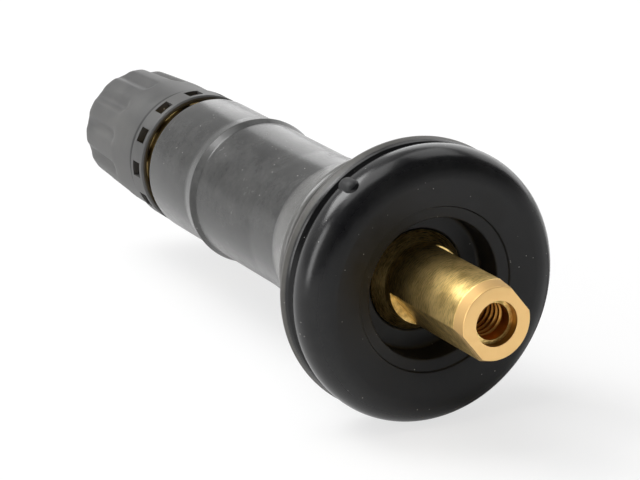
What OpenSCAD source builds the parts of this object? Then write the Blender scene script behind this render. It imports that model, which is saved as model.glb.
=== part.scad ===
// Snap-in tyre valve: a rubber body moulded on a turned brass stem, with a plastic dust cap
// and a spring-loaded valve core inside. Every piece is drawn along Z, with the rim seat at
// zero, the cap on the positive side and the sensor end on the negative side, and is then
// laid along Y. Millimetres.

/* [Rubber flange] */
// Diameter of the flange over its back lip
flange_d = 19.1; // [18:0.1:22]
// Thickness from the rim seat to the crest of the front rim
flange_h = 4.85; // [4.2:0.05:6]
// Height of the back lip, from the rim seat to the parting groove
lip_h = 1.35; // [1:0.05:1.8]
// Rounding of the back lip
lip_round = 0.8; // [0.3:0.05:1.2]
// Rounding of the front rim
rim_round = 2; // [1:0.05:2.4]
// Width of the parting groove
groove_w = 0.45; // [0.1:0.05:0.6]
// Depth of the parting groove
groove_depth = 0.65; // [0.2:0.05:0.9]
// Fall of the front face from the rim to the recess
face_dish = 0.35; // [0:0.05:0.6]
// Diameter of the well round the stem
well_d = 9.7; // [8.6:0.1:11]
// Depth of the well below the crest of the rim
well_depth = 2.95; // [2:0.05:3.6]
// Width of the recessed band round the well
recess_w = 0.88; // [0.5:0.02:1.2]
// Step at the outer edge of that band
recess_step = 0.14; // [0.05:0.01:0.3]
// Fall of that band towards the well
recess_fall = 0.16; // [0:0.02:0.4]
// Rounding at the foot of the well's wall
well_round = 0.3; // [0.1:0.05:0.6]
// Width of the open joint between the rubber and the stem's foot
joint_gap = 0.16; // [0.05:0.01:0.3]
// Diameter of the moulding nub on the rim
nub_d = 1.25; // [0.8:0.05:2]
// Straight length of the nub
nub_len = 0.6; // [0.3:0.05:1.5]
// Height of the nub above the rim
nub_proud = 0.3; // [0.1:0.02:0.5]
// Direction of the nub round the axis
nub_angle = -127; // [-180:1:180]

/* [Rubber neck and barrel] */
// Diameter of the neck that fills the rim hole
neck_d = 11.9; // [11.4:0.1:12.6]
// Width of the groove that takes the rim
rim_groove_w = 3; // [2:0.1:4]
// Rounding at the bottom of that groove
neck_round = 0.4; // [0.1:0.05:0.8]
// Diameter of the bulge that holds the valve in the rim
bulge_d = 14.8; // [13.6:0.1:16]
// Rounding of the bulge
bulge_round = 0.6; // [0.3:0.05:1]
// Length of the cone from the bulge to the barrel
bulge_len = 4.9; // [3:0.1:7]
// Diameter of the barrel where the cone meets it
shoulder_d = 10.8; // [10:0.1:11.6]
// Length over which the barrel settles to its own diameter
shoulder_len = 4; // [2:0.1:6]
// Diameter of the barrel
barrel_d = 10.36; // [9.6:0.02:11.2]
// Distance of the step ring from the rim seat
ring_z = 21.55; // [18:0.05:24]
// Diameter of the step ring
ring_d = 10.85; // [10.6:0.05:12]
// Length of the flare up to the step ring
ring_flare = 0.55; // [0.3:0.05:1]
// Width of the step ring's edge
ring_edge = 0.12; // [0.05:0.01:0.3]
// Length of the fall from the step ring to the nose
ring_fall = 1.2; // [0.4:0.05:2]
// Distance from the rim seat to the end of the rubber
rubber_len = 29.2; // [26:0.1:32]
// Rubber wall over the stem's collar
sleeve_wall = 0.7; // [0.3:0.02:1]
// Rounding of the rubber's end
nose_round = 0.22; // [0.05:0.01:0.3]

/* [Brass stem] */
// Diameter of the stem at the sensor end
stem_d = 5.5; // [5:0.05:6]
// Length of the stem beyond the flange
tip_proud = 7.35; // [5:0.05:9]
// Length of the cone on the tip
tip_cone_len = 0.85; // [0.3:0.05:1.2]
// Diameter of the tip's end face
tip_d = 4.96; // [4.4:0.02:5.3]
// Width across the two flats
flats_w = 4.44; // [4:0.02:4.8]
// Length of the flats from the tip
flats_len = 9; // [6:0.1:9.4]
// Direction of the flats round the axis
flats_angle = -39; // [-180:1:180]
// Diameter of the stem's foot in the well
foot_d = 6.86; // [6.4:0.02:7.6]
// Length of the flare from the foot to the stem
flare_h = 0.8; // [0.4:0.05:1.2]
// Length of the foot inside the rubber
foot_len = 4; // [2:0.1:6]
// Diameter of the stem inside the rubber
body_d = 6.5; // [6:0.05:7]
// Number of anchor ribs inside the rubber
rib_count = 4; // [2:1:6]
// Pitch of the anchor ribs
rib_pitch = 4; // [2.5:0.1:5]
// Height of an anchor rib
rib_h = 0.35; // [0.1:0.05:0.5]
// Width of an anchor rib at its root
rib_w = 1.4; // [0.8:0.05:2]
// Diameter of the collar at the end of the rubber
collar_d = 8.9; // [8.4:0.05:9.6]
// Length of the collar inside the rubber
collar_grip = 1.2; // [0.6:0.05:2]
// Height of the collar beyond the rubber
collar_proud = 2.2; // [0.8:0.05:2.6]
// Chamfer on the collar
collar_chamfer = 0.2; // [0.05:0.01:0.3]
// Diameter of the cap thread
thread_d = 7.75; // [7.4:0.01:8.2]
// Diameter of the runout groove under the thread
runout_d = 6.9; // [6.6:0.05:7.2]
// Length of that groove
runout_len = 0.6; // [0.3:0.05:1]
// Distance from the rim seat to the end of the stem
stem_out = 40.4; // [38:0.1:44]
// Chamfer on the end of the thread
thread_chamfer = 0.42; // [0.2:0.02:0.6]

/* [Screw hole] */
// Diameter of the tapped hole for the sensor's screw
screw_hole_d = 2.5; // [2:0.05:3]
// Depth of the tapped hole from the tip
screw_hole_depth = 8.8; // [6:0.1:12]
// Diameter of the counterbore
cbore_d = 3.08; // [2.8:0.02:3.4]
// Depth of the counterbore
cbore_depth = 0.55; // [0.3:0.05:2]
// Diameter of the air passage
air_d = 2.1; // [1.2:0.05:2.4]

/* [Dust cap] */
// Wall of the cap outside its thread, at the skirt
cap_wall = 0.98; // [0.8:0.01:1.4]
// Clearance between the cap and the thread
cap_gap = 0.06; // [0.03:0.01:0.1]
// Gap between the rubber's end and the cap's rim
rim_gap = 1.3; // [0.8:0.05:2]
// Clearance between the cap's mouth and the stem's collar, at least
mouth_gap = 0.08; // [0.05:0.01:0.2]
// Thickness of the cap's end
cap_top = 1.4; // [1:0.05:2]
// Fall of the cap's radius from the skirt to the end
cap_taper = 0.3; // [0.1:0.02:0.6]
// Rounding of the cap's end
cap_round = 1.2; // [0.5:0.05:1.8]
// Height of the windowed band at the rim
band_h = 2.1; // [1.6:0.05:2.4]
// Step from the skirt out to the band
band_step = 0.18; // [0.05:0.01:0.3]
// Wall of the band
band_wall = 0.55; // [0.4:0.01:0.7]
// Half the width of the groove between the band and the skirt
band_groove = 0.12; // [0.05:0.01:0.2]
// Depth of that groove below the skirt
band_groove_depth = 0.2; // [0.05:0.01:0.3]
// Number of windows and of flutes
lobe_count = 12; // [8:1:16]
// Width of a window
window_w = 1.15; // [0.6:0.05:1.4]
// Height of a window
window_h = 1.1; // [0.4:0.05:1.3]
// Direction of the first window round the axis
window_angle = -2.4; // [-15:0.1:15]
// Length of the flutes from the end of the cap
flute_len = 6.4; // [4:0.1:8]
// Radius of a flute
flute_r = 0.85; // [0.5:0.05:1.1]
// Depth of a flute
flute_depth = 0.3; // [0.1:0.02:0.45]

/* [Cap seal] */
// Thickness of the seal
cap_seal_h = 0.95; // [0.6:0.05:1.4]
// Diameter of the hole in the seal
cap_seal_hole_d = 3; // [2:0.1:4]
// Clearance round the seal in the cap
cap_seal_side = 0.3; // [0.1:0.05:0.5]
// Clearance between the seal and the end of the stem
cap_seal_gap = 0.05; // [0.02:0.01:0.1]

/* [Valve core] */
// Diameter of the stem's core thread
core_thread_d = 5.2; // [5:0.02:5.4]
// Clearance of the plug in that thread
core_gap = 0.05; // [0.02:0.01:0.1]
// Depth of the plug below the end of the stem
core_depth = 0.7; // [0.3:0.05:1]
// Length of the plug
plug_len = 4.7; // [4:0.1:6]
// Height of the plug's bridge
bridge_h = 1.2; // [0.8:0.05:1.6]
// Width of the plug's bridge between its tool flats
bridge_w = 2.6; // [2:0.05:3]
// Depth of the tool flats
tool_flat_h = 2; // [1:0.1:2.4]
// Diameter of the pin's hole in the bridge
bridge_hole_d = 1.5; // [1.4:0.02:1.8]
// Diameter of the swivel space in the plug
swivel_d = 3.9; // [3.6:0.05:4.1]
// Height of the plug's retaining lip
plug_lip_h = 0.5; // [0.3:0.05:0.8]
// Diameter of the hole in that lip
plug_lip_d = 3.1; // [2.9:0.05:3.3]
// Clearance of the barrel in the plug
swivel_gap = 0.1; // [0.05:0.01:0.15]
// Height of the barrel's head
head_h = 0.8; // [0.4:0.05:1.2]
// Diameter of the barrel's shoulder
core_shoulder_d = 4.3; // [4:0.05:4.6]
// Height of the barrel's shoulder
core_shoulder_h = 0.7; // [0.4:0.05:1]
// Length of the barrel's seal
seal_len = 1.8; // [1.2:0.05:2.4]
// Diameter of the barrel under its seal
seal_seat_d = 3; // [2.8:0.05:3.2]
// Diameter of the stem's seal cone at its wide end
cone_wide_d = 4.7; // [4.5:0.05:5]
// Diameter of the stem's core chamber
chamber_d = 4; // [3.8:0.05:4.4]
// Clearance between the seal and its cone
seal_gap = 0.03; // [0.01:0.01:0.06]
// Diameter of the barrel's collar under the seal
core_collar_d = 3.5; // [3.2:0.05:3.7]
// Height of that collar
core_collar_h = 0.5; // [0.3:0.05:0.8]
// Diameter of the barrel's tube
core_tube_d = 3; // [2.8:0.05:3.2]
// Length of the barrel's tube
core_tube_len = 4.4; // [3.5:0.1:5.5]
// Bore of the barrel
core_bore_d = 2.1; // [2:0.02:2.3]
// Thickness of the barrel's foot, which carries the spring
core_foot_h = 1; // [0.6:0.05:1.4]
// Hole in the barrel's foot
core_foot_hole_d = 1.3; // [1.1:0.02:1.4]

/* [Valve pin and spring] */
// Diameter of the pin
pin_d = 0.9; // [0.7:0.02:1]
// Depth of the pin's head below the end of the stem
pin_depth = 0.9; // [0.5:0.05:1.2]
// Diameter of the pin's head
pin_head_d = 1.24; // [1:0.02:1.36]
// Height of the pin's head
pin_head_h = 0.35; // [0.2:0.05:0.6]
// Travel of the pin
pin_travel = 1.2; // [0.6:0.05:1.6]
// Span of the pin's ears
ear_span = 1.9; // [1.7:0.02:1.96]
// Width of the pin's ears
ear_w = 0.7; // [0.4:0.05:1]
// Height of the pin's ears
ear_h = 0.4; // [0.2:0.05:0.6]
// Length of the spring
spring_len = 4; // [3.2:0.05:4.6]
// Diameter of the spring's wire
wire_d = 0.26; // [0.16:0.02:0.3]
// Turns of the spring
spring_turns = 6; // [4:0.5:8]
// Diameter of the cup
cup_d = 3.1; // [2.8:0.05:3.4]
// Wall of the cup
cup_wall = 0.3; // [0.2:0.02:0.4]
// Thickness of the cup's floor
cup_floor = 0.35; // [0.2:0.05:0.5]
// Thickness of the cup's seal
cup_seal_h = 0.9; // [0.6:0.05:1.2]
// Height of the seal above the cup's wall
cup_seal_proud = 0.3; // [0.1:0.02:0.5]
// Clearance between the cup's seal and the barrel
cup_seal_gap = 0.03; // [0.01:0.01:0.06]
// Height of the pin's riveted end
rivet_h = 0.25; // [0.15:0.05:0.4]
// Diameter of the pin's riveted end
rivet_d = 1.4; // [1.1:0.05:1.6]
// Room below the pin at the end of its travel
pin_room = 0.5; // [0.2:0.05:1]

/* [Hidden] */
$fn = 96;
arc_steps = 10;
cut_over = 1;

// Rubber: heights and radii
flange_r = flange_d / 2;
face_z = -(flange_h - face_dish);
floor_z = -(flange_h - well_depth);
well_r = well_d / 2;
recess_r = well_r + recess_w;
rim_sweep = 25;
rim_r = min(rim_round, (flange_h - lip_h - groove_w) / (1 + sin(rim_sweep)));
rim_centre = [flange_r - rim_r, -flange_h + rim_r];
neck_r = neck_d / 2;
bulge_r = bulge_d / 2;
bulge_sweep = 66;
bulge_end_z = rim_groove_w + bulge_round + bulge_len;
barrel_r = barrel_d / 2;
collar_r = collar_d / 2;
nose_r = collar_r + sleeve_wall;

// Stem: heights and radii
tip_z = -(flange_h + tip_proud);
foot_r = foot_d / 2;
stem_r = stem_d / 2;
body_r = body_d / 2;
foot_end_z = floor_z + foot_len;
collar_z = rubber_len - collar_grip;
cap_rim_z = rubber_len + rim_gap;
mouth_z = cap_rim_z + (band_h + window_h) / 2;
collar_end_z = min(rubber_len + collar_proud, mouth_z);
thread_r = thread_d / 2;

// Core: heights from the end of the stem downwards
core_thread_r = core_thread_d / 2;
plug_top = stem_out - core_depth;
plug_bottom = plug_top - plug_len;
shoulder_z = plug_bottom - core_shoulder_h;
seal_z = shoulder_z - seal_len;
core_collar_z = seal_z - core_collar_h;
core_bottom = core_collar_z - core_tube_len;
head_z = plug_bottom + plug_lip_h + swivel_gap;
spring_z = core_bottom + core_foot_h;
ear_z = spring_z + spring_len;
spring_r = (core_foot_hole_d + wire_d) / 2;
pin_top = stem_out - pin_depth;
cup_seal_top = core_bottom - cup_seal_gap;
cup_seal_z = cup_seal_top - cup_seal_h;
cup_z = cup_seal_z - cup_floor;
rivet_z = cup_z - rivet_h;
chamber_z = rivet_z - pin_travel - pin_room;
chamber_r = chamber_d / 2;
core_mouth = 0.3;

// Cap: heights and radii
band_z = cap_rim_z + band_h;
cap_bore_r = thread_r + cap_gap;
skirt_r = cap_bore_r + cap_wall;
band_r = skirt_r + band_step;
mouth_r = max(band_r - band_wall, collar_r + mouth_gap);
mouth_chamfer = 0.75 * (band_r - mouth_r - band_groove);
ceiling_z = stem_out + cap_seal_gap + cap_seal_h;
cap_end_z = ceiling_z + cap_top;
cap_end_r = skirt_r - cap_taper;
flute_z = cap_end_z - flute_len;
flute_tilt = atan(cap_taper / flute_len);

// Points of an arc, from angle a0 to angle a1
function arc(c, r, a0, a1) =
    [for (i = [0:arc_steps]) let (a = a0 + (a1 - a0) * i / arc_steps) c + r * [cos(a), sin(a)]];

function backwards(list) = [for (i = [len(list) - 1:-1:0]) list[i]];

// One anchor rib of the stem, from its lower root to its upper root
function rib(z) = [[body_r, z], [body_r + rib_h, z + rib_w / 4],
                   [body_r + rib_h, z + 3 * rib_w / 4], [body_r, z + rib_w]];

// The surface that the rubber and the stem share
shared_wall = concat(
    [[foot_r, floor_z + joint_gap], [foot_r, foot_end_z], [body_r, foot_end_z + foot_r - body_r]],
    [for (i = [1:rib_count]) each rib(foot_end_z + i * rib_pitch)],
    [[body_r, collar_z - (collar_r - body_r)], [collar_r, collar_z], [collar_r, rubber_len]]);

flange_face = concat(
    [[foot_r + joint_gap, floor_z]],
    arc([well_r - well_round, floor_z - well_round], well_round, 90, 0),
    [[well_r, face_z + recess_step + recess_fall],
     [recess_r - recess_step / 2, face_z + recess_step],
     [recess_r, face_z]],
    arc(rim_centre, rim_r, -90, rim_sweep),
    [[flange_r - groove_depth, -lip_h - groove_w / 2]]);

flange_back = concat(
    [[flange_r - groove_w / 2, -lip_h]],
    arc([flange_r - lip_round, -lip_round], lip_round, 0, 90),
    arc([neck_r + neck_round, neck_round], neck_round, -90, -180));

barrel_wall = concat(
    [[neck_r, rim_groove_w]],
    arc([bulge_r - bulge_round, rim_groove_w + bulge_round], bulge_round, -90, bulge_sweep),
    [[shoulder_d / 2, bulge_end_z], [barrel_r, bulge_end_z + shoulder_len],
     [barrel_r, ring_z - ring_flare], [ring_d / 2, ring_z], [ring_d / 2, ring_z + ring_edge],
     [nose_r, ring_z + ring_edge + ring_fall]],
    arc([nose_r - nose_round, rubber_len - nose_round], nose_round, 0, 90));

// Lays a piece drawn along Z along the valve's axis
module lay() {
    rotate([-90, 0, 0]) children();
}

module revolve(points) {
    rotate_extrude() polygon(points);
}

// A small rounded ridge that the mould leaves on the rim
module nub() {
    rotate([0, 0, nub_angle])
        translate([flange_r + nub_proud - nub_d / 2, 0, rim_centre[1] - nub_len / 2]) {
            cylinder(d = nub_d, h = nub_len);
            sphere(d = nub_d);
            translate([0, 0, nub_len]) sphere(d = nub_d);
        }
}

module rubber_body() {
    color("#2a2a2c") lay() {
        revolve(concat(flange_face, flange_back, barrel_wall, backwards(shared_wall)));
        nub();
    }
}

// Outside of the stem from the tip to the end of its thread
function stem_outside() = concat(
    [[tip_d / 2, tip_z], [stem_r, tip_z + tip_cone_len], [stem_r, floor_z - flare_h], [foot_r, floor_z]],
    shared_wall,
    [[collar_r, collar_end_z - collar_chamfer], [collar_r - collar_chamfer, collar_end_z],
     [runout_d / 2, collar_end_z], [runout_d / 2, collar_end_z + runout_len],
     [thread_r, collar_end_z + runout_len + thread_r - runout_d / 2],
     [thread_r, stem_out - thread_chamfer], [thread_r - thread_chamfer, stem_out]]);

// Inside of the stem from the end of its thread to the tip
function stem_inside() = concat(
    [[core_thread_r + core_mouth, stem_out], [core_thread_r, stem_out - core_mouth],
     [core_thread_r, plug_bottom - core_mouth], [cone_wide_d / 2, shoulder_z], [chamber_r, seal_z],
     [chamber_r, chamber_z], [air_d / 2, chamber_z - chamber_r + air_d / 2]],
    [[air_d / 2, tip_z + screw_hole_depth + (screw_hole_d - air_d) / 2],
     [screw_hole_d / 2, tip_z + screw_hole_depth], [screw_hole_d / 2, tip_z + cbore_depth],
     [cbore_d / 2, tip_z + cbore_depth], [cbore_d / 2, tip_z]]);

module brass_stem() {
    color("#b8944a") lay() difference() {
        revolve(concat(stem_outside(), stem_inside()));
        for (side = [0, 180])
            rotate([0, 0, flats_angle + side])
                translate([flats_w / 2, -stem_d, tip_z - cut_over])
                    cube([stem_d, 2 * stem_d, flats_len + cut_over]);
    }
}

// One flute, leaning with the cap's side, with a round runout
module flute() {
    translate([skirt_r + flute_r - flute_depth, 0, flute_z])
        rotate([0, -flute_tilt, 0]) {
            cylinder(r = flute_r, h = flute_len + cut_over);
            sphere(r = flute_r);
        }
}

module window() {
    translate([mouth_r - cut_over / 2, -window_w / 2, cap_rim_z + (band_h - window_h) / 2])
        cube([band_r - mouth_r + cut_over, window_w, window_h]);
}

module dust_cap() {
    step = 360 / lobe_count;
    body = concat(
        [[0, ceiling_z], [cap_bore_r, ceiling_z], [cap_bore_r, mouth_z + mouth_r - cap_bore_r],
         [mouth_r, mouth_z], [mouth_r, cap_rim_z + mouth_chamfer], [mouth_r + mouth_chamfer, cap_rim_z],
         [band_r - band_groove, cap_rim_z], [band_r, cap_rim_z + band_groove],
         [band_r, band_z - band_groove], [skirt_r - band_groove_depth, band_z],
         [skirt_r, band_z + band_groove], [skirt_r, flute_z]],
        arc([cap_end_r - cap_round, cap_end_z - cap_round], cap_round, 0, 90),
        [[0, cap_end_z]]);
    color("#4b4b4e") lay() difference() {
        revolve(body);
        for (i = [0:lobe_count - 1]) {
            rotate([0, 0, window_angle + i * step]) window();
            rotate([0, 0, window_angle + (i + 0.5) * step]) flute();
        }
    }
}

module cap_seal() {
    color("#1d1d1f") lay() translate([0, 0, stem_out + cap_seal_gap]) difference() {
        cylinder(r = cap_bore_r - cap_seal_side, h = cap_seal_h);
        translate([0, 0, -cut_over]) cylinder(d = cap_seal_hole_d, h = cap_seal_h + 2 * cut_over);
    }
}

// Threaded plug with a bridge that guides the pin and takes the core tool
module core_plug() {
    plug_r = core_thread_r - core_gap;
    body = [[bridge_hole_d / 2, plug_top], [plug_r, plug_top], [plug_r, plug_bottom],
            [plug_lip_d / 2, plug_bottom], [plug_lip_d / 2, plug_bottom + plug_lip_h],
            [swivel_d / 2, plug_bottom + plug_lip_h], [swivel_d / 2, plug_top - bridge_h],
            [bridge_hole_d / 2, plug_top - bridge_h]];
    color("#b8944a") lay() difference() {
        revolve(body);
        for (side = [0, 180])
            rotate([0, 0, side])
                translate([bridge_w / 2, -core_thread_d, plug_top - tool_flat_h])
                    cube([core_thread_d, 2 * core_thread_d, tool_flat_h + cut_over]);
    }
}

// Barrel that hangs in the plug, carries the seal and holds the spring
module core_barrel() {
    head_r = swivel_d / 2 - swivel_gap;
    core_neck_r = plug_lip_d / 2 - swivel_gap;
    body = [[core_bore_d / 2, head_z + head_h], [head_r, head_z + head_h], [head_r, head_z],
            [core_neck_r, head_z], [core_neck_r, plug_bottom],
            [core_shoulder_d / 2, plug_bottom], [core_shoulder_d / 2, shoulder_z],
            [seal_seat_d / 2, shoulder_z], [seal_seat_d / 2, seal_z],
            [core_collar_d / 2, seal_z], [core_collar_d / 2, core_collar_z],
            [core_tube_d / 2, core_collar_z], [core_tube_d / 2, core_bottom],
            [core_foot_hole_d / 2, core_bottom], [core_foot_hole_d / 2, spring_z],
            [core_bore_d / 2, spring_z]];
    color("#b8944a") lay() revolve(body);
}

module barrel_seal() {
    body = [[seal_seat_d / 2, shoulder_z], [cone_wide_d / 2 - seal_gap, shoulder_z],
            [chamber_r - seal_gap, seal_z], [seal_seat_d / 2, seal_z]];
    color("#8e2f2a") lay() revolve(body);
}

// Pin with a button head, two pressed ears for the spring and a riveted foot
module core_pin() {
    body = [[0, rivet_z], [rivet_d / 2, rivet_z], [rivet_d / 2, cup_z], [pin_d / 2, cup_z],
            [pin_d / 2, pin_top - pin_head_h], [pin_head_d / 2, pin_top - pin_head_h],
            [pin_head_d / 2, pin_top], [0, pin_top]];
    color("#9a9ca0") lay() {
        revolve(body);
        intersection() {
            translate([0, 0, ear_z]) cylinder(d = ear_span, h = ear_h);
            translate([-ear_span, -ear_w / 2, ear_z]) cube([2 * ear_span, ear_w, ear_h]);
        }
    }
}

module pin_cup() {
    cup_top = cup_seal_top - cup_seal_proud;
    body = [[pin_d / 2, cup_z], [cup_d / 2, cup_z], [cup_d / 2, cup_top],
            [cup_d / 2 - cup_wall, cup_top], [cup_d / 2 - cup_wall, cup_seal_z],
            [pin_d / 2, cup_seal_z]];
    color("#b8944a") lay() revolve(body);
}

module cup_seal() {
    color("#1d1d1f") lay() translate([0, 0, cup_seal_z]) difference() {
        cylinder(r = cup_d / 2 - cup_wall, h = cup_seal_h);
        translate([0, 0, -cut_over]) cylinder(d = pin_d, h = cup_seal_h + 2 * cut_over);
    }
}

// Wire swept along a helix between the barrel's foot and the pin's ears
module core_spring() {
    sides = 6;
    turn_steps = 16;
    rings = round(spring_turns * turn_steps);
    wire_r = wire_d / 2;
    points = [for (i = [0:rings], k = [0:sides - 1])
        let (turn = 360 * i / turn_steps, side = 360 * k / sides,
             r = spring_r + wire_r * cos(side),
             z = spring_z + wire_r + (spring_len - wire_d) * i / rings + wire_r * sin(side))
        [r * cos(turn), r * sin(turn), z]];
    skin = [for (i = [0:rings - 1], k = [0:sides - 1])
        let (a = i * sides + k, b = i * sides + (k + 1) % sides) [a, b, b + sides, a + sides]];
    ends = [[for (k = [sides - 1:-1:0]) k], [for (k = [0:sides - 1]) rings * sides + k]];
    color("#a7a9ad") lay() polyhedron(points = points, faces = concat(skin, ends), convexity = 8);
}

rubber_body();
brass_stem();
dust_cap();
cap_seal();
core_plug();
core_barrel();
barrel_seal();
core_pin();
pin_cup();
cup_seal();
core_spring();
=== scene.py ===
import bpy
from math import atan2, cos, sin, tan, pi, radians
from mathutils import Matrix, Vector


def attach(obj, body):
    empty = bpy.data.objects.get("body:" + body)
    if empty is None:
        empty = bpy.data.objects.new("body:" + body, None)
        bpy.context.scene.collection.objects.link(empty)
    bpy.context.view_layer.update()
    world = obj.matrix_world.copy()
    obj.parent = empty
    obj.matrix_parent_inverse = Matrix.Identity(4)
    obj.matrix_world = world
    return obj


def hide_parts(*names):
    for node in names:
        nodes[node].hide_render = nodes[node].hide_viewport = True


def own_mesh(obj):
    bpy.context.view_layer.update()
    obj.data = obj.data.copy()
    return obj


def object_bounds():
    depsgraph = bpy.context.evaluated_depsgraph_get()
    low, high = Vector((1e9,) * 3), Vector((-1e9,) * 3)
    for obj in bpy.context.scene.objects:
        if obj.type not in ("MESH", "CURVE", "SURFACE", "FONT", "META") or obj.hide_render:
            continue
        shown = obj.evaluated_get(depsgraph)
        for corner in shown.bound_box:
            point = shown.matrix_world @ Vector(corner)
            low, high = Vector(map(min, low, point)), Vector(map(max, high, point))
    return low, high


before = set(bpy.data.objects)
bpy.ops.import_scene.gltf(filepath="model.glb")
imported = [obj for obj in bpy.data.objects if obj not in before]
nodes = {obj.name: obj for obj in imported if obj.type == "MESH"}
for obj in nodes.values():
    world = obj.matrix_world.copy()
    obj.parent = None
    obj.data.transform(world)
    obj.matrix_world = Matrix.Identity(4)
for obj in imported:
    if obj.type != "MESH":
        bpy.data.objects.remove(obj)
cadLow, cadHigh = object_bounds()
mm = 0.001          # sizes below are millimetres
weld = 1e-7         # vertices closer than this are one vertex
print("frame loaded:", len(nodes), "nodes")


# Drawing helpers

def clearSelection():
    if bpy.context.object and bpy.context.object.mode != "OBJECT":
        bpy.ops.object.mode_set(mode="OBJECT")
    bpy.ops.object.select_all(action="DESELECT")


def useAlone(piece):
    clearSelection()
    piece.select_set(True)
    bpy.context.view_layer.objects.active = piece


def pickVertices(piece, test):
    # selects the vertices that pass the test by their place; leaves edit mode on
    bpy.ops.object.mode_set(mode="EDIT")
    bpy.ops.mesh.select_all(action="DESELECT")
    bpy.ops.object.mode_set(mode="OBJECT")
    for vertex in piece.data.vertices:
        vertex.select = test(vertex.co)
    bpy.ops.object.mode_set(mode="EDIT")


def arcLine(centre, radius, start, end, count=8):
    angles = [radians(start + (end - start) * i / count) for i in range(count + 1)]
    return [(centre[0] + radius * cos(a), centre[1] + radius * sin(a)) for a in angles]


def softLine(corners, count=3):
    # corners are (radius, height, rounding); the ends of the line stay sharp
    points = []
    for i, (radius, height, rounding) in enumerate(corners):
        here = Vector((radius, height))
        if rounding == 0 or i in (0, len(corners) - 1):
            points.append((radius, height))
            continue
        back = (Vector(corners[i - 1][:2]) - here).normalized()
        ahead = (Vector(corners[i + 1][:2]) - here).normalized()
        half = back.angle(ahead) / 2
        centre = here + (back + ahead).normalized() * rounding / sin(half)
        first = here + back * rounding / tan(half) - centre
        last = here + ahead * rounding / tan(half) - centre
        sweep = first.angle_signed(last)
        for k in range(count + 1):
            turn = -sweep * k / count
            x = first.x * cos(turn) - first.y * sin(turn)
            y = first.x * sin(turn) + first.y * cos(turn)
            points.append((centre.x + x, centre.y + y))
    return points


def drawOutline(name, points):
    # a chain of vertices in the XY plane, extruded from one vertex; leaves edit mode on
    clearSelection()
    radius, height = points[0]
    bpy.ops.mesh.primitive_plane_add(size=mm, location=(radius * mm, height * mm, 0))
    piece = bpy.context.object
    piece.name = name
    piece.data.name = name
    bpy.ops.object.transform_apply(location=True)
    bpy.ops.object.mode_set(mode="EDIT")
    bpy.ops.mesh.select_all(action="SELECT")
    bpy.ops.mesh.merge(type="CENTER")
    for (r0, h0), (r1, h1) in zip(points, points[1:]):
        bpy.ops.mesh.extrude_region_move(
            TRANSFORM_OT_translate={"value": ((r1 - r0) * mm, (h1 - h0) * mm, 0)})
    return piece


def lathe(name, points, steps):
    piece = drawOutline(name, points)
    bpy.ops.mesh.select_all(action="SELECT")
    bpy.ops.mesh.spin(steps=steps, angle=2 * pi, center=(0, 0, 0), axis=(0, 1, 0))
    bpy.ops.mesh.select_all(action="SELECT")
    bpy.ops.mesh.remove_doubles(threshold=weld)
    bpy.ops.mesh.normals_make_consistent(inside=False)
    bpy.ops.object.mode_set(mode="OBJECT")
    return piece


def helixSweep(name, points, lead, turns, steps=48):
    # a closed outline swept along a right-hand helix round the axis, from +X
    piece = drawOutline(name, points + points[:1])
    bpy.ops.mesh.select_all(action="SELECT")
    bpy.ops.mesh.remove_doubles(threshold=weld)
    bpy.ops.object.mode_set(mode="OBJECT")
    bpy.ops.object.modifier_add(type="SCREW")
    sweep = piece.modifiers[-1]
    sweep.axis = "Y"
    sweep.angle = 2 * pi
    sweep.screw_offset = lead * mm
    sweep.iterations = turns
    sweep.steps = sweep.render_steps = steps
    bpy.ops.object.modifier_apply(modifier=sweep.name)
    bpy.ops.object.mode_set(mode="EDIT")
    bpy.ops.mesh.select_all(action="SELECT")
    bpy.ops.mesh.fill_holes(sides=0)
    bpy.ops.mesh.select_all(action="SELECT")
    bpy.ops.mesh.normals_make_consistent(inside=False)
    bpy.ops.object.mode_set(mode="OBJECT")
    return piece


def combine(piece, tool, how):
    useAlone(piece)
    bpy.ops.object.modifier_add(type="BOOLEAN")
    change = piece.modifiers[-1]
    change.object = tool
    change.operation = how
    change.solver = "EXACT"
    bpy.ops.object.modifier_apply(modifier=change.name)
    bpy.data.objects.remove(tool)


def joinTools(tools):
    clearSelection()
    for tool in tools:
        tool.select_set(True)
    bpy.context.view_layer.objects.active = tools[0]
    bpy.ops.object.join()
    return tools[0]


def boxTool(name, middle, size, turn):
    # a box whose local X points outwards, turned about the axis
    clearSelection()
    radius, height = middle
    place = (radius * cos(turn) * mm, height * mm, radius * sin(turn) * mm)
    bpy.ops.mesh.primitive_cube_add(size=1, location=place, rotation=(0, -turn, 0),
                                    scale=[s * mm for s in size])
    tool = bpy.context.object
    tool.name = name
    bpy.ops.object.transform_apply(location=True, rotation=True, scale=True)
    return tool


def finishPiece(piece, body, node, material, sharpAngle):
    useAlone(piece)
    bpy.ops.object.transform_apply(location=True, rotation=True, scale=True)
    bpy.ops.object.shade_smooth_by_angle(angle=radians(sharpAngle))
    piece.data.materials.clear()
    piece.data.materials.append(material)
    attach(piece, body)
    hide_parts(node)
    print("made", piece.name, len(piece.data.polygons), "faces")


# Materials

def startMaterial(name):
    material = bpy.data.materials.new(name)
    material.use_nodes = True
    return material, material.node_tree, material.node_tree.nodes["Principled BSDF"]


def objectField(tree, kind, scale, stretch=(1, 1, 1), turn=(0, 0, 0)):
    # a texture on Object coordinates; scale is in features per metre
    place = tree.nodes.new("ShaderNodeTexCoord")
    mapping = tree.nodes.new("ShaderNodeMapping")
    mapping.inputs["Scale"].default_value = stretch
    mapping.inputs["Rotation"].default_value = turn
    texture = tree.nodes.new(kind)
    texture.inputs["Scale"].default_value = scale
    tree.links.new(place.outputs["Object"], mapping.inputs["Vector"])
    tree.links.new(mapping.outputs["Vector"], texture.inputs["Vector"])
    return texture


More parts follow.
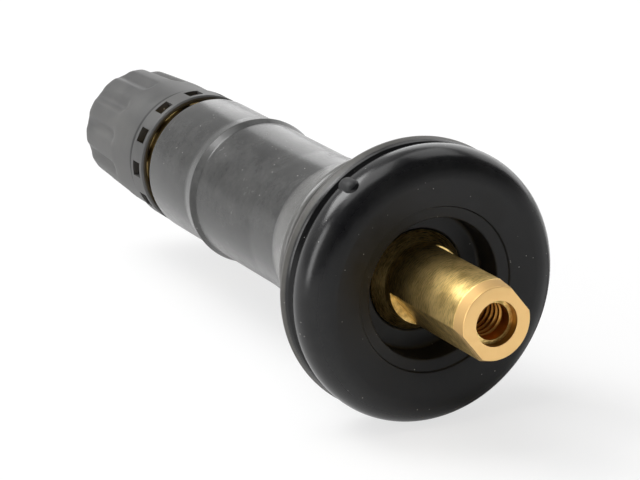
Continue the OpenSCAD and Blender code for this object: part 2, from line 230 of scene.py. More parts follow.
def noise(tree, scale, detail, stretch=(1, 1, 1), turn=(0, 0, 0)):
    texture = objectField(tree, "ShaderNodeTexNoise", scale, stretch, turn)
    texture.inputs["Detail"].default_value = detail
    return texture


def spread(tree, value, low, high, fromLow=0.3, fromHigh=0.7):
    # maps a texture's value to a range
    node = tree.nodes.new("ShaderNodeMapRange")
    node.inputs["From Min"].default_value = fromLow
    node.inputs["From Max"].default_value = fromHigh
    node.inputs["To Min"].default_value = low
    node.inputs["To Max"].default_value = high
    tree.links.new(value, node.inputs["Value"])
    return node.outputs["Result"]


def mixColour(tree, amount, first, second):
    node = tree.nodes.new("ShaderNodeMix")
    node.data_type = "RGBA"
    tree.links.new(amount, node.inputs["Factor"])
    for socket, colour in ((node.inputs["A"], first), (node.inputs["B"], second)):
        if isinstance(colour, tuple):
            socket.default_value = (*colour, 1)
        else:
            tree.links.new(colour, socket)
    return node.outputs["Result"]


def arithmetic(tree, operation, first, second):
    node = tree.nodes.new("ShaderNodeMath")
    node.operation = operation
    for socket, value in ((node.inputs[0], first), (node.inputs[1], second)):
        if isinstance(value, (int, float)):
            socket.default_value = value
        else:
            tree.links.new(value, socket)
    return node.outputs[0]


def mixValue(tree, amount, first, second):
    node = tree.nodes.new("ShaderNodeMix")
    tree.links.new(amount, node.inputs["Factor"])
    tree.links.new(first, node.inputs["A"])
    tree.links.new(second, node.inputs["B"])
    return node.outputs["Result"]


def alongAxis(tree, start, end):
    # 0 before the start and 1 after the end, measured along the valve
    place = tree.nodes.new("ShaderNodeTexCoord")
    split = tree.nodes.new("ShaderNodeSeparateXYZ")
    tree.links.new(place.outputs["Object"], split.inputs["Vector"])
    return spread(tree, split.outputs["Y"], 0, 1, start * mm, end * mm)


def between(tree, start, end):
    # 1 from the start to the end along the valve, each a pair over which it fades
    return arithmetic(tree, "SUBTRACT", alongAxis(tree, *start), alongAxis(tree, *end))


def fromAxis(tree, start, end):
    # 0 nearer the valve's axis than the start and 1 beyond the end
    place = tree.nodes.new("ShaderNodeTexCoord")
    flat = tree.nodes.new("ShaderNodeVectorMath")
    flat.operation = "MULTIPLY"
    flat.inputs[1].default_value = (1, 0, 1)
    size = tree.nodes.new("ShaderNodeVectorMath")
    size.operation = "LENGTH"
    tree.links.new(place.outputs["Object"], flat.inputs[0])
    tree.links.new(flat.outputs["Vector"], size.inputs[0])
    return spread(tree, size.outputs["Value"], 0, 1, start * mm, end * mm)


def addBump(tree, shader, height, strength, distance):
    bump = tree.nodes.new("ShaderNodeBump")
    bump.inputs["Strength"].default_value = strength
    bump.inputs["Distance"].default_value = distance
    tree.links.new(height, bump.inputs["Height"])
    tree.links.new(bump.outputs["Normal"], shader.inputs["Normal"])


def dustSpecks(tree, cellsPerMetre, size, share):
    # 1 on a few small round specks, 0 elsewhere
    core = 0.6 * size       # a speck fades from here to its edge
    cells = objectField(tree, "ShaderNodeTexVoronoi", cellsPerMetre)
    near = spread(tree, cells.outputs["Distance"], 1, 0, core, size)
    pick = tree.nodes.new("ShaderNodeSeparateColor")
    tree.links.new(cells.outputs["Color"], pick.inputs["Color"])
    chosen = arithmetic(tree, "LESS_THAN", pick.outputs["Red"], share)
    return arithmetic(tree, "MULTIPLY", near, chosen)


rubberLook = {
    # skins along the valve: where each starts, its two colours and its roughness
    "front": {"colours": ((0.000, 0.000, 0.001), (0.010, 0.010, 0.010)), "gloss": (0.38, 0.60)},
    # the lip starts past its groove, so the front's near-black runs onto the lip's edge as the groove's
    # painted shade
    "lip": {"start": (-1.15, -1.0), "colours": ((0.040, 0.038, 0.034), (0.078, 0.074, 0.067)),
            "gloss": (0.4, 0.55)},
    "bulge": {"start": (0.4, 0.8), "colours": ((0.085, 0.084, 0.081), (0.128, 0.126, 0.121)),
              "gloss": (0.18, 0.26)},
    "barrel": {"start": (7.8, 8.5), "colours": ((0.018, 0.018, 0.018), (0.054, 0.054, 0.052)),
               "gloss": (0.15, 0.29)},
    # on the front skin, the rim is glossier and the nub duller, by their distance from the axis
    "rimStart": (8.0, 9.0), "rimGloss": (0.18, 0.26), "nubStart": (9.56, 9.6), "nubGloss": (0.5, 0.6),
    "specular": 0.4, "cloudScale": 400, "cloudDetail": 8, "cloudRoughness": 0.75,
    "grainScale": 9000, "grainDetail": 3, "grainStrength": 0.5, "grainDepth": 0.000008,
    "dust": (0.35, 0.34, 0.32), "speckCells": 1800, "speckSize": 0.075, "speckShare": 0.4, "speckGloss": 0.5,
}


def rubberSkin(tree, skin, clouds):
    amount = spread(tree, clouds, 0, 1)
    return mixColour(tree, amount, *skin["colours"]), spread(tree, clouds, *skin["gloss"])


def rubberMaterial():
    look = rubberLook
    material, tree, shader = startMaterial("mouldedRubber")
    shader.inputs["Specular IOR Level"].default_value = look["specular"]
    cloudField = noise(tree, look["cloudScale"], look["cloudDetail"])
    cloudField.inputs["Roughness"].default_value = look["cloudRoughness"]
    clouds = cloudField.outputs["Fac"]
    grain = noise(tree, look["grainScale"], look["grainDetail"])
    specks = dustSpecks(tree, look["speckCells"], look["speckSize"], look["speckShare"])
    colour, gloss = rubberSkin(tree, look["front"], clouds)
    for start, finish in (("rimStart", "rimGloss"), ("nubStart", "nubGloss")):
        gloss = mixValue(tree, fromAxis(tree, *look[start]), gloss, spread(tree, clouds, *look[finish]))
    for part in ("lip", "bulge", "barrel"):
        begun = alongAxis(tree, *look[part]["start"])
        nextColour, nextGloss = rubberSkin(tree, look[part], clouds)
        colour = mixColour(tree, begun, colour, nextColour)
        gloss = mixValue(tree, begun, gloss, nextGloss)
    tree.links.new(mixColour(tree, specks, colour, look["dust"]), shader.inputs["Base Color"])
    speckGloss = arithmetic(tree, "MULTIPLY", specks, look["speckGloss"])
    tree.links.new(arithmetic(tree, "ADD", gloss, speckGloss), shader.inputs["Roughness"])
    addBump(tree, shader, grain.outputs["Fac"], look["grainStrength"], look["grainDepth"])
    return material


brassLook = {
    "bright": (0.99, 0.72, 0.285), "deep": (0.42, 0.285, 0.09), "wornRange": (1.28, 1.76),
    "stainScale": 900, "stainDetail": 7, "hatchScale": 2400, "hatchDetail": 3, "hatchStretch": (1, 6, 1),
    "hatchTurn": 0.7, "hatchRange": (0.8, 1.2), "roughness": (0.33, 0.43), "strength": 0.5, "depth": 0.000004,
    # the tip: faced end, cone round it and wall of the counterbore, the last two darkened as painted shade
    "faced": (0.90, 0.59, 0.25), "cone": (0.50, 0.33, 0.14), "coneStart": (-12.17, -12.12),
    "coneEnd": (-11.42, -11.36), "coneRadius": (1.7, 1.9), "coneRoughness": 0.6,
    "shadedBoreWall": (0.42, 0.22, 0.06), "boreRadius": (1.48, 1.53),
    # the drilled hole: painted light keeps its mouth a bright orange, and painted shade darkens it as it goes
    # in
    "inside": (0.85, 0.46, 0.12), "holeShade": (0.45, 0.19, 0.035), "holeShadeStart": (-11.4, -9.0),
    "holeRadius": (1.5, 1.6), "holeMouth": (-11.62, -11.5), "holeEnd": (-3.0, -2.0),
}


def brassMaterial():
    look = brassLook
    material, tree, shader = startMaterial("turnedBrass")
    shader.inputs["Metallic"].default_value = 1
    marks = []
    for turn in (-look["hatchTurn"], look["hatchTurn"]):
        hatch = noise(tree, look["hatchScale"], look["hatchDetail"], look["hatchStretch"], (turn, 0, turn))
        marks.append(hatch.outputs["Fac"])
    hatched = arithmetic(tree, "ADD", *marks)
    stain = noise(tree, look["stainScale"], look["stainDetail"])
    worn = arithmetic(tree, "ADD", stain.outputs["Fac"], hatched)
    skin = mixColour(tree, spread(tree, worn, 0, 1, *look["wornRange"]), look["bright"], look["deep"])
    # the end is freshly faced; the cone and the counterbore's wall get darker colours as painted shade
    behindFace = alongAxis(tree, *look["coneStart"])
    tip = between(tree, look["coneStart"], look["coneEnd"])
    shadedBore = arithmetic(tree, "MULTIPLY", tip, fromAxis(tree, *look["boreRadius"]))
    cone = arithmetic(tree, "MULTIPLY", tip, fromAxis(tree, *look["coneRadius"]))
    skin = mixColour(tree, behindFace, look["faced"], skin)
    skin = mixColour(tree, shadedBore, skin, look["shadedBoreWall"])
    skin = mixColour(tree, cone, skin, look["cone"])
    # the hole's colour is painted: bounced light near its mouth, fading into painted shade deeper in
    nearAxis = arithmetic(tree, "SUBTRACT", 1, fromAxis(tree, *look["holeRadius"]))
    hole = arithmetic(tree, "MULTIPLY", between(tree, look["holeMouth"], look["holeEnd"]), nearAxis)
    inside = mixColour(tree, alongAxis(tree, *look["holeShadeStart"]), look["inside"], look["holeShade"])
    tree.links.new(mixColour(tree, hole, skin, inside), shader.inputs["Base Color"])
    gloss = spread(tree, hatched, *look["roughness"], *look["hatchRange"])
    coneGloss = arithmetic(tree, "MULTIPLY", cone, look["coneRoughness"])
    tree.links.new(arithmetic(tree, "MAXIMUM", gloss, coneGloss), shader.inputs["Roughness"])
    addBump(tree, shader, hatched, look["strength"], look["depth"])
    return material


plasticLook = {
    "dark": (0.050, 0.050, 0.050), "pale": (0.088, 0.087, 0.084), "roughness": (0.42, 0.55), "specular": 0.4,
    "cloudScale": 350, "cloudDetail": 5,
    "grainScale": 7000, "grainDetail": 2, "grainStrength": 0.3, "grainDepth": 0.000012,
    # painted shade for the groove between band and skirt, near-black
    "grooveShade": (0.010, 0.010, 0.010), "grooveShadeStart": (32.40, 32.48), "grooveShadeEnd": (32.98, 33.14),
    "dust": (0.5, 0.49, 0.47), "speckCells": 800, "speckSize": 0.07, "speckShare": 0.1,
}


def plasticMaterial():
    look = plasticLook
    material, tree, shader = startMaterial("satinPlastic")
    shader.inputs["Specular IOR Level"].default_value = look["specular"]
    clouds = noise(tree, look["cloudScale"], look["cloudDetail"]).outputs["Fac"]
    grain = noise(tree, look["grainScale"], look["grainDetail"])
    specks = dustSpecks(tree, look["speckCells"], look["speckSize"], look["speckShare"])
    skin = mixColour(tree, spread(tree, clouds, 0, 1), look["dark"], look["pale"])
    # painted shade: a near-black band over the groove beside the band and the start of the skirt, where the
    # groove's shade falls
    skin = mixColour(tree, between(tree, look["grooveShadeStart"], look["grooveShadeEnd"]), skin, look["grooveShade"])
    tree.links.new(mixColour(tree, specks, skin, look["dust"]), shader.inputs["Base Color"])
    tree.links.new(spread(tree, clouds, *look["roughness"]), shader.inputs["Roughness"])
    addBump(tree, shader, grain.outputs["Fac"], look["grainStrength"], look["grainDepth"])
    return material


# The small inner pieces have a two-tone surface with a fine grain
plainLooks = {
    "sealRubber": {"dark": (0.012, 0.012, 0.012), "pale": (0.03, 0.03, 0.03), "roughness": (0.5, 0.7),
                   "metallic": 0, "scale": 2500},
    "sealRing": {"dark": (0.32, 0.05, 0.035), "pale": (0.45, 0.08, 0.06), "roughness": (0.4, 0.55),
                 "metallic": 0, "scale": 2500},
    "drawnSteel": {"dark": (0.42, 0.42, 0.43), "pale": (0.6, 0.6, 0.61), "roughness": (0.2, 0.35),
                   "metallic": 1, "scale": 3000},
    "detail": 5, "strength": 0.3, "depth": 0.00001,
}


def plainMaterial(name):
    look = plainLooks[name]
    material, tree, shader = startMaterial(name)
    shader.inputs["Metallic"].default_value = look["metallic"]
    clouds = noise(tree, look["scale"], plainLooks["detail"]).outputs["Fac"]
    skin = mixColour(tree, spread(tree, clouds, 0, 1), look["dark"], look["pale"])
    tree.links.new(skin, shader.inputs["Base Color"])
    tree.links.new(spread(tree, clouds, *look["roughness"]), shader.inputs["Roughness"])
    addBump(tree, shader, clouds, plainLooks["strength"], plainLooks["depth"])
    return material


rubber = rubberMaterial()
brass = brassMaterial()
plastic = plasticMaterial()
sealRubber = plainMaterial("sealRubber")
sealRing = plainMaterial("sealRing")
steel = plainMaterial("drawnSteel")
print("materials ready")


# Surface that the rubber and the stem share, inside the rubber
sharedSizes = {
    "footRadius": 3.43, "jointGap": 0.16, "floor": -1.9, "footEnd": 2.1, "bodyRadius": 3.25,
    "ribCount": 4, "ribPitch": 4.0, "ribHeight": 0.35, "ribWidth": 1.4,
    "collarRadius": 4.45, "collarStart": 28.0, "rubberEnd": 29.2,
}


def sharedWall():
    s = sharedSizes
    body, foot, collar = s["bodyRadius"], s["footRadius"], s["collarRadius"]
    wall = [(foot, s["floor"] + s["jointGap"]), (foot, s["footEnd"]), (body, s["footEnd"] + foot - body)]
    for i in range(1, s["ribCount"] + 1):
        start = s["footEnd"] + i * s["ribPitch"]
        crest = body + s["ribHeight"]
        wall += [(body, start), (crest, start + s["ribWidth"] / 4),
                 (crest, start + 3 * s["ribWidth"] / 4), (body, start + s["ribWidth"])]
    return wall + [(body, s["collarStart"] - (collar - body)), (collar, s["collarStart"]),
                   (collar, s["rubberEnd"])]


# Rubber body: flange, neck, bulge, barrel with step ring, nose
rubberSizes = {
    "flangeRadius": 9.55, "crest": -4.85, "rimRound": 2.0, "rimSweep": 25, "grooveDepth": 0.65,
    "grooveWidth": 0.45, "lipHeight": 1.35, "lipRound": 0.8, "face": -4.5, "recessRadius": 5.73,
    "recessStep": 0.14, "recessFall": 0.16, "wellRadius": 4.85, "wellRound": 0.3,
    "wellEdge": 0.15, "recessEdges": (0.05, 0.06), "grooveEdges": (0.05, 0.08),
    "neckRadius": 5.95, "neckRound": 0.4, "bulgeRadius": 7.4, "bulgeRound": 0.6, "rimGroove": 3.0,
    "bulgeSweep": 66, "shoulder": (5.4, 8.5), "shoulderRound": 1.2, "barrelRadius": 5.18,
    "barrelStart": 12.5, "barrelRound": 12.0, "ringRounds": (0.5, 0.07, 0.05, 3.0),
    "ringStart": 21.0, "ringHeight": 21.55, "ringRadius": 5.425, "ringEdge": 0.12, "ringFall": 1.2,
    "noseRadius": 5.15, "noseRound": 0.22, "steps": 224,
    "nubAngle": 127, "nubRadius": 0.625, "nubLength": 0.6, "nubProud": 0.3,
}


def rubberOutline():
    s = rubberSizes
    floor, end = sharedSizes["floor"], sharedSizes["rubberEnd"]
    rim = (s["flangeRadius"] - s["rimRound"], s["crest"] + s["rimRound"])
    front = softLine([
        (sharedSizes["footRadius"] + sharedSizes["jointGap"], floor, 0),
        (s["wellRadius"], floor, s["wellRound"]),
        (s["wellRadius"], s["face"] + s["recessStep"] + s["recessFall"], s["wellEdge"]),
        (s["recessRadius"] - s["recessStep"] / 2, s["face"] + s["recessStep"], s["recessEdges"][0]),
        (s["recessRadius"], s["face"], s["recessEdges"][1]),
        (rim[0], s["crest"], 0)], count=4)
    rimLine = arcLine(rim, s["rimRound"], -90, s["rimSweep"], count=24)[1:]
    lip = -s["lipHeight"]
    back = softLine([
        rimLine[-1] + (0,),
        (s["flangeRadius"] - s["grooveDepth"], lip - s["grooveWidth"] / 2, s["grooveEdges"][0]),
        (s["flangeRadius"] - s["grooveWidth"] / 2, lip, s["grooveEdges"][1]),
        (s["flangeRadius"], -s["lipRound"], 0)], count=3)[1:]
    lipLine = arcLine((s["flangeRadius"] - s["lipRound"], -s["lipRound"]), s["lipRound"], 0, 90, count=10)[1:]
    neckLine = arcLine((s["neckRadius"] + s["neckRound"], s["neckRound"]), s["neckRound"], -90, -180, count=6)
    bulgeLine = arcLine((s["bulgeRadius"] - s["bulgeRound"], s["rimGroove"] + s["bulgeRound"]),
                        s["bulgeRound"], -90, s["bulgeSweep"], count=12)
    ring, ringTop = s["ringRadius"], s["ringHeight"] + s["ringEdge"]
    foot, edge, top, fall = s["ringRounds"]
    barrel = softLine([
        bulgeLine[-1] + (0,),
        s["shoulder"] + (s["shoulderRound"],),
        (s["barrelRadius"], s["barrelStart"], s["barrelRound"]),
        (s["barrelRadius"], s["ringStart"], foot),
        (ring, s["ringHeight"], edge),
        (ring, ringTop, top),
        (s["noseRadius"], ringTop + s["ringFall"], fall),
        (s["noseRadius"], end, s["noseRound"]),
        (sharedSizes["collarRadius"], end, 0)], count=6)[1:]
    return (front + rimLine + back + lipLine + neckLine + [(s["neckRadius"], s["rimGroove"])]
            + bulgeLine + barrel + sharedWall()[-2::-1])


def rubberNub():
    # the pip that the mould leaves on the rim: a ball stretched into a short bar
    s = rubberSizes
    equator = 0.01 * mm     # the half above it moves out
    clearSelection()
    bpy.ops.mesh.primitive_uv_sphere_add(segments=32, ring_count=24, radius=s["nubRadius"] * mm)
    nub = bpy.context.object
    pickVertices(nub, lambda place: place.z > equator)
    bpy.ops.transform.translate(value=(0, 0, s["nubLength"] * mm))
    bpy.ops.object.mode_set(mode="OBJECT")
    reach = s["flangeRadius"] + s["nubProud"] - s["nubRadius"]
    start = s["crest"] + s["rimRound"] - s["nubLength"] / 2
    turn = radians(s["nubAngle"])
    nub.rotation_euler = (radians(-90), 0, 0)
    nub.location = (reach * cos(turn) * mm, start * mm, reach * sin(turn) * mm)
    bpy.ops.object.transform_apply(location=True, rotation=True, scale=True)
    return nub


outline = rubberOutline()
valveRubber = lathe("valveRubber", outline + outline[:1], rubberSizes["steps"])
combine(valveRubber, rubberNub(), "UNION")
finishPiece(valveRubber, "valve", "rubber_body", rubber, sharpAngle=35)


# Brass stem: drilled and flatted tip, foot, anchored body, collar, cap thread
stemSizes = {
    "tip": -12.2, "tipRadius": 2.48, "coneLength": 0.85, "radius": 2.75, "flare": 0.8,
    "flatsAcross": 4.44, "flatsLength": 9.0, "flatsAngle": 39,
    "collarEnd": 31.4, "collarChamfer": 0.2, "runoutRadius": 3.45, "runoutLength": 0.6,
    "threadRadius": 3.875, "end": 40.4, "threadChamfer": 0.42,
    "coreRadius": 2.6, "coreMouth": 0.3, "plugBottom": 35.0, "coneTop": 34.3, "coneBottom": 32.5,
    "coneRadius": 2.35, "chamberRadius": 2.0, "chamberEnd": 24.37, "airRadius": 1.05,
    "holeRadius": 1.25, "holeDepth": 8.8, "boreRadius": 1.54, "boreDepth": 0.55, "steps": 160,
    "tipRound": 0.06, "coneRound": 0.1, "flareRound": 0.5, "footRound": 0.05, "runoutRound": 0.08,
    "threadRound": 0.03,
}
# a thread's slope is the side's width for each unit of depth
capThread = {"lead": 0.794, "depth": 0.44, "root": 0.18, "slope": 0.577, "runIn": 0.2, "extraTurns": 2}
screwThread = {"lead": 0.5, "depth": 0.16, "root": 0.12, "slope": 0.577, "turns": 13, "leadIn": 0.8}


def stemOutline():
    s = stemSizes
    tip, floor = s["tip"], sharedSizes["floor"]
    foot, collar = sharedSizes["footRadius"], sharedSizes["collarRadius"]
    outside = softLine([
        (s["boreRadius"], tip, 0), (s["tipRadius"], tip, s["tipRound"]),
        (s["radius"], tip + s["coneLength"], s["coneRound"]),
        (s["radius"], floor - s["flare"], s["flareRound"]), (foot, floor, s["footRound"]),
        sharedWall()[0] + (0,)], count=4)
    runoutEnd = s["collarEnd"] + s["runoutLength"]
    top = softLine([
        (collar, sharedSizes["rubberEnd"], 0), (collar, s["collarEnd"], s["collarChamfer"]),
        (s["runoutRadius"], s["collarEnd"], s["runoutRound"]), (s["runoutRadius"], runoutEnd, 0),
        (s["threadRadius"], runoutEnd + s["threadRadius"] - s["runoutRadius"], s["threadRound"]),
        (s["threadRadius"], s["end"] - s["threadChamfer"], s["threadRound"]),
        (s["threadRadius"] - s["threadChamfer"], s["end"], s["threadRound"]),
        (s["coreRadius"] + s["coreMouth"], s["end"], 0)], count=4)
    inside = [
        (s["coreRadius"], s["end"] - s["coreMouth"]), (s["coreRadius"], s["plugBottom"] - s["coreMouth"]),
        (s["coneRadius"], s["coneTop"]), (s["chamberRadius"], s["coneBottom"]),
        (s["chamberRadius"], s["chamberEnd"]),
        (s["airRadius"], s["chamberEnd"] - s["chamberRadius"] + s["airRadius"]),
        (s["airRadius"], tip + s["holeDepth"] + s["holeRadius"] - s["airRadius"]),
        (s["holeRadius"], tip + s["holeDepth"]), (s["holeRadius"], tip + s["boreDepth"]),
        (s["boreRadius"], tip + s["boreDepth"])]
    return outside + sharedWall()[1:-1] + top + inside


def threadOutline(thread, radius, start, outwards):
    # one groove of a thread, wide at the surface and narrow at its root
    side = 1 if outwards else -1
    over = 0.1              # the tool stands out of the surface by this
    root = thread["root"] / 2
    mouth = root + (thread["depth"] + over) * thread["slope"]
    return [(radius - side * over, start - mouth), (radius + side * thread["depth"], start - root),
            (radius + side * thread["depth"], start + root), (radius - side * over, start + mouth)]


def cutFlats(piece):
    s = stemSizes
    depth, over = 2.0, 1.0  # the tool's thickness, and how far it stands out past the tip
    middle = (s["flatsAcross"] / 2 + depth / 2, s["tip"] + (s["flatsLength"] - over) / 2)
    size = (depth, s["flatsLength"] + over, 4 * s["radius"])
    tools = [boxTool("flatTool", middle, size, radians(s["flatsAngle"] + turn)) for turn in (0, 180)]
    combine(piece, joinTools(tools), "DIFFERENCE")


outline = stemOutline()
turnedStem = lathe("turnedStem", outline + outline[:1], stemSizes["steps"])
cutFlats(turnedStem)
threadStart = stemSizes["collarEnd"] + stemSizes["runoutLength"] - capThread["runIn"]
threadTurns = int((stemSizes["end"] - threadStart) / capThread["lead"]) + capThread["extraTurns"]
groove = threadOutline(capThread, stemSizes["threadRadius"], threadStart, outwards=False)
capTool = helixSweep("capThreadTool", groove, capThread["lead"], threadTurns)
combine(turnedStem, capTool, "DIFFERENCE")
screwStart = stemSizes["tip"] + stemSizes["boreDepth"] + screwThread["leadIn"]
groove = threadOutline(screwThread, stemSizes["holeRadius"], screwStart, outwards=True)
screwTool = helixSweep("screwThreadTool", groove, screwThread["lead"], screwThread["turns"])
screwTool.rotation_euler = (0, pi, 0)   # the thread starts on the -X side
bpy.ops.object.transform_apply(location=False, rotation=True, scale=False)
combine(turnedStem, screwTool, "DIFFERENCE")
finishPiece(turnedStem, "valve", "brass_stem", brass, sharpAngle=30)


# Dust cap: fluted, with a band of windows at the rim and a thread inside
capSizes = {
    "rim": 30.5, "bandTop": 32.6, "bandRadius": 5.095, "mouthRadius": 4.545, "mouthTop": 32.1,
    "mouthChamfer": 0.32, "groove": 0.12, "grooveDepth": 0.2, "skirtRadius": 4.915, "boreRadius": 3.935,
    "threadBore": 3.55, "threadStart": 33.3, "threadEnd": 39.9, "ceiling": 41.4, "end": 42.8,
    "endRadius": 4.615, "endRound": 1.2,
    "lobes": 12, "columns": 8, "fluteStart": 36.4, "fluteDepth": 0.42, "fluteSide": 0.24,
    "fluteReach": 4.33, "fluteLead": 0.6, "fluteMargin": 0.1, "taper": (0, 0.06, 0.14, 0.3, 0.55, 0.8, 1),
    "windowWidth": 1.15, "windowHeight": 1.1, "windowDepth": 1.2, "turn": 2.4, "endRing": 2.0,
    "wideRound": 0.1, "edgeRound": 0.05, "bandRound": 0.03, "rimRound": 0.02,
}
innerThread = {"lead": capThread["lead"], "depth": capSizes["boreRadius"] - capSizes["threadBore"],
               "root": 0.16, "slope": capThread["slope"], "turns": 10}


def capOutline():
    s = capSizes
    wide, edge, band, rim = s["wideRound"], s["edgeRound"], s["bandRound"], s["rimRound"]
    slant = s["boreRadius"] - s["threadBore"]
    inside = softLine([
        (0, s["ceiling"], 0), (s["boreRadius"], s["ceiling"], wide),
        (s["boreRadius"], s["threadEnd"] + slant, edge), (s["threadBore"], s["threadEnd"], edge),
        (s["threadBore"], s["threadStart"], edge), (s["boreRadius"], s["threadStart"] - slant, edge),
        (s["mouthRadius"], s["mouthTop"], wide), (s["mouthRadius"], s["rim"] + s["mouthChamfer"], edge),
        (s["mouthRadius"] + s["mouthChamfer"], s["rim"], rim), (s["bandRadius"] - s["groove"], s["rim"], rim),
        (s["bandRadius"], s["rim"] + s["groove"], band), (s["bandRadius"], s["bandTop"] - s["groove"], band),
        (s["skirtRadius"] - s["grooveDepth"], s["bandTop"], rim),
        (s["skirtRadius"], s["bandTop"] + s["groove"], edge),
        (s["skirtRadius"], s["fluteStart"] - s["fluteLead"], 0)], count=2)
    low, high = s["fluteStart"], s["end"] - s["endRound"]
    fall = s["endRadius"] - s["skirtRadius"]
    side = [(s["skirtRadius"] + fall * t, low + (high - low) * t) for t in s["taper"]]
    end = arcLine((s["endRadius"] - s["endRound"], high), s["endRound"], 0, 90, count=6)[1:]
    return inside + side + end + [(s["endRing"], s["end"]), (0, s["end"])]


def pressFlutes(piece):
    # the middle column of each flute goes in by its depth, the columns beside it by less
    s = capSizes
    lobe = 2 * pi / s["lobes"]
    column = lobe / s["columns"]
    sameRow = 1e-6
    start, reach = (s["fluteStart"] + s["fluteMargin"]) * mm, s["fluteReach"] * mm
    rows = {}
    for vertex in piece.data.vertices:
        radius = Vector((vertex.co.x, vertex.co.z)).length
        if vertex.co.y > start and radius > reach:
            rows[round(vertex.co.y, 6)] = radius
    for height, radius in rows.items():
        for offset, depth in ((0, s["fluteDepth"]), (column, s["fluteSide"])):
            factor = max(radius - depth * mm, reach) / radius
            pickVertices(piece, lambda place: abs(place.y - height) < sameRow
                         and abs(abs(atan2(place.z, place.x) % lobe - lobe / 2) - offset) < column / 4
                         and place.x ** 2 + place.z ** 2 > reach ** 2)
            bpy.ops.transform.resize(value=(factor, 1, factor), center_override=(0, 0, 0))
            bpy.ops.object.mode_set(mode="OBJECT")


def cutWindows(piece):
    s = capSizes
    middle = ((s["bandRadius"] + s["mouthRadius"]) / 2, (s["rim"] + s["bandTop"]) / 2)
    size = (s["windowDepth"], s["windowHeight"], s["windowWidth"])
    tools = [boxTool("windowTool", middle, size, 2 * pi * i / s["lobes"]) for i in range(s["lobes"])]
    combine(piece, joinTools(tools), "DIFFERENCE")


flutedCap = lathe("flutedCap", capOutline(), capSizes["lobes"] * capSizes["columns"])
pressFlutes(flutedCap)
useAlone(flutedCap)
bpy.ops.object.modifier_add(type="SUBSURF")
smooth = flutedCap.modifiers[-1]
smooth.levels = smooth.render_levels = 1
bpy.ops.object.modifier_apply(modifier=smooth.name)
cutWindows(flutedCap)
flutedCap.rotation_euler = (0, radians(-capSizes["turn"]), 0)
bpy.ops.object.transform_apply(location=False, rotation=True, scale=False)
firstTurn = threadStart + 1.5 * capThread["lead"]    # half a lead off the stem's groove
groove = threadOutline(innerThread, capSizes["threadBore"], firstTurn, outwards=True)
innerTool = helixSweep("innerThreadTool", groove, innerThread["lead"], innerThread["turns"])
combine(flutedCap, innerTool, "DIFFERENCE")
finishPiece(flutedCap, "cap", "dust_cap", plastic, sharpAngle=35)


# Core spring: round wire coiled round the axis; the real one shortens as the pin is pressed
springSizes = {
    "start": 28.6, "length": 4.0, "radius": 0.78, "wire": 0.26, "turns": 6, "travel": 1.2,
    "sides": 10, "steps": 32,
}


def wireSpring():
    s = springSizes
    wire = arcLine((s["radius"], s["start"] + s["wire"] / 2), s["wire"] / 2, 0, 360, count=s["sides"])[:-1]
    lead = (s["length"] - s["wire"]) / s["turns"]
    return helixSweep("coreSpring", wire, lead, s["turns"], s["steps"])


coreSpring = wireSpring()
finishPiece(coreSpring, "valve", "core_spring", steel, sharpAngle=60)
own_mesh(coreSpring)


# Small pieces inside keep their solids and get their finishes
finishes = {
    "cap_seal": sealRubber, "cup_seal": sealRubber, "barrel_seal": sealRing, "core_plug": brass,
    "core_barrel": brass, "pin_cup": brass, "core_pin": steel,
}
for name, material in finishes.items():
    nodes[name].data.materials.clear()
    nodes[name].data.materials.append(material)
print("inner pieces finished")


# Studio: floor, sky, softboxes, camera
studio = {
    "floorSize": 6.0, "floorGap": 0.02, "floorColour": 0.92, "floorRoughness": 0.9, "floorWhite": 0.7,
    "floorMirrored": (0.75, 0), "floorTurn": (-0.006, 0.004),
    # a painted shadow: how dark the floor looks in reflections behind the flange on the +X side, and where
    "floorShadow": 0.85, "floorBehind": (-0.004, 0.002), "floorBeyond": (0.006, 0.016),
    "skyLow": 1.0, "skyBack": 0.65, "skyFront": 0.12, "skySide": (-0.5, 0.866, 0),
    "skyTurn": (-0.3, 0.5), "skyEdge": (0.04, 0.12), "focus": (0, 10, 0),
}
softboxes = {
    # name: azimuth from +Y towards +X, elevation, distance and size in metres, brightness,
    # and whether it lights matt surfaces or only shows in glossy ones
    "rightBack": (50, 21, 0.55, (0.62, 0.37), 1.3, False),
    "rightTop": (72, 60, 0.60, (0.36, 0.30), 1.7, False),
    "key": (-42, 48, 0.60, (0.32, 0.32), 7.2, True),
    "top": (-72, 72, 0.60, (0.42, 0.42), 2.4, True),
    "left": (-86, 14, 0.50, (0.14, 0.40), 5.0, True),
}
view = {
    "place": (-95.0, -166.2, 62.55), "azimuth": -28.1, "elevation": 17.5,
    "focalPixels": 3000, "imageWidth": 640, "sensor": 36, "clip": (0.005, 20),
}


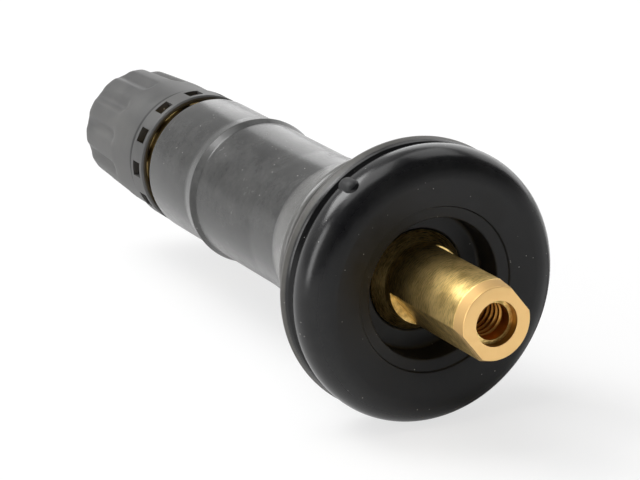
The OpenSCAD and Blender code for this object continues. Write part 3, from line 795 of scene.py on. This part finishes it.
def makeFloor():
    s = studio
    clearSelection()
    bpy.ops.mesh.primitive_plane_add(size=s["floorSize"], location=(0, 0, cadLow.z - s["floorGap"] * mm))
    floor = bpy.context.object
    floor.name = "floor"
    material, tree, shader = startMaterial("paleFloor")
    shader.inputs["Base Color"].default_value = (s["floorColour"],) * 3 + (1,)
    shader.inputs["Roughness"].default_value = s["floorRoughness"]
    glow = tree.nodes.new("ShaderNodeEmission")
    path = tree.nodes.new("ShaderNodeLightPath")
    mirrored = arithmetic(tree, "MAXIMUM", path.outputs["Is Glossy Ray"], path.outputs["Is Transmission Ray"])
    # in reflections the floor glows on the lit side only
    place = tree.nodes.new("ShaderNodeTexCoord")
    split = tree.nodes.new("ShaderNodeSeparateXYZ")
    tree.links.new(place.outputs["Object"], split.inputs["Vector"])
    across, along = split.outputs["X"], split.outputs["Y"]
    litSide = spread(tree, across, *s["floorMirrored"], *s["floorTurn"])
    seen = arithmetic(tree, "MAXIMUM", arithmetic(tree, "MULTIPLY", mirrored, litSide),
                      arithmetic(tree, "MULTIPLY", path.outputs["Is Camera Ray"], s["floorWhite"]))
    mix = tree.nodes.new("ShaderNodeMixShader")
    tree.links.new(seen, mix.inputs[0])
    tree.links.new(shader.outputs["BSDF"], mix.inputs[1])
    tree.links.new(glow.outputs["Emission"], mix.inputs[2])
    # and a painted shadow darkens it in reflections just behind the flange on the other side
    shadowPatch = arithmetic(tree, "MULTIPLY", spread(tree, along, 0, 1, *s["floorBehind"]),
                        spread(tree, along, s["floorShadow"], 0, *s["floorBeyond"]))
    shadowPatch = arithmetic(tree, "MULTIPLY", shadowPatch, spread(tree, across, 0, 1, *s["floorTurn"]))
    shade = tree.nodes.new("ShaderNodeMixShader")
    tree.links.new(arithmetic(tree, "MULTIPLY", mirrored, shadowPatch), shade.inputs[0])
    tree.links.new(mix.outputs["Shader"], shade.inputs[1])
    tree.links.new(shade.outputs["Shader"], tree.nodes["Material Output"].inputs["Surface"])
    floor.data.materials.append(material)


def makeSky():
    # white at the horizon, grey above, darker to the right and on the camera's side
    s = studio
    world = bpy.data.worlds.new("studioSky")
    bpy.context.scene.world = world
    world.use_nodes = True
    tree = world.node_tree
    place = tree.nodes.new("ShaderNodeTexCoord")
    split = tree.nodes.new("ShaderNodeSeparateXYZ")
    side = tree.nodes.new("ShaderNodeVectorMath")
    side.operation = "DOT_PRODUCT"
    side.inputs[1].default_value = s["skySide"]
    tree.links.new(place.outputs["Generated"], split.inputs["Vector"])
    tree.links.new(place.outputs["Generated"], side.inputs[0])
    above = spread(tree, side.outputs["Value"], s["skyFront"], s["skyBack"], *s["skyTurn"])
    glow = spread(tree, split.outputs["Z"], s["skyLow"], 0, *s["skyEdge"])
    tree.links.new(arithmetic(tree, "MAXIMUM", above, glow), tree.nodes["Background"].inputs["Strength"])
    tree.nodes["Background"].inputs["Color"].default_value = (1, 1, 1, 1)


def makeSoftboxes():
    focus = Vector(studio["focus"]) * mm
    for name, (azimuth, elevation, distance, size, brightness, lightsMatt) in softboxes.items():
        a, e = radians(azimuth), radians(elevation)
        aim = Vector((sin(a) * cos(e), cos(a) * cos(e), sin(e)))
        lamp = bpy.data.lights.new(name, "AREA")
        lamp.shape = "RECTANGLE"
        lamp.size, lamp.size_y = size
        lamp.energy = brightness * pi * size[0] * size[1]
        box = bpy.data.objects.new(name, lamp)
        box.location = focus + aim * distance
        box.rotation_euler = aim.to_track_quat("Z", "Y").to_euler()
        box.visible_camera = False
        box.visible_diffuse = lightsMatt
        bpy.context.scene.collection.objects.link(box)


def makeCamera():
    v = view
    lens = bpy.data.cameras.new("camera")
    lens.sensor_width = v["sensor"]
    lens.lens = v["focalPixels"] * v["sensor"] / v["imageWidth"]
    lens.clip_start, lens.clip_end = v["clip"]
    camera = bpy.data.objects.new("camera", lens)
    camera.location = Vector(v["place"]) * mm
    camera.rotation_euler = (radians(90 - v["elevation"]), 0, radians(v["azimuth"]))
    bpy.context.scene.collection.objects.link(camera)
    bpy.context.scene.camera = camera


makeFloor()
makeSky()
makeSoftboxes()
makeCamera()
bpy.context.scene.view_settings.view_transform = "Standard"
print("studio ready")
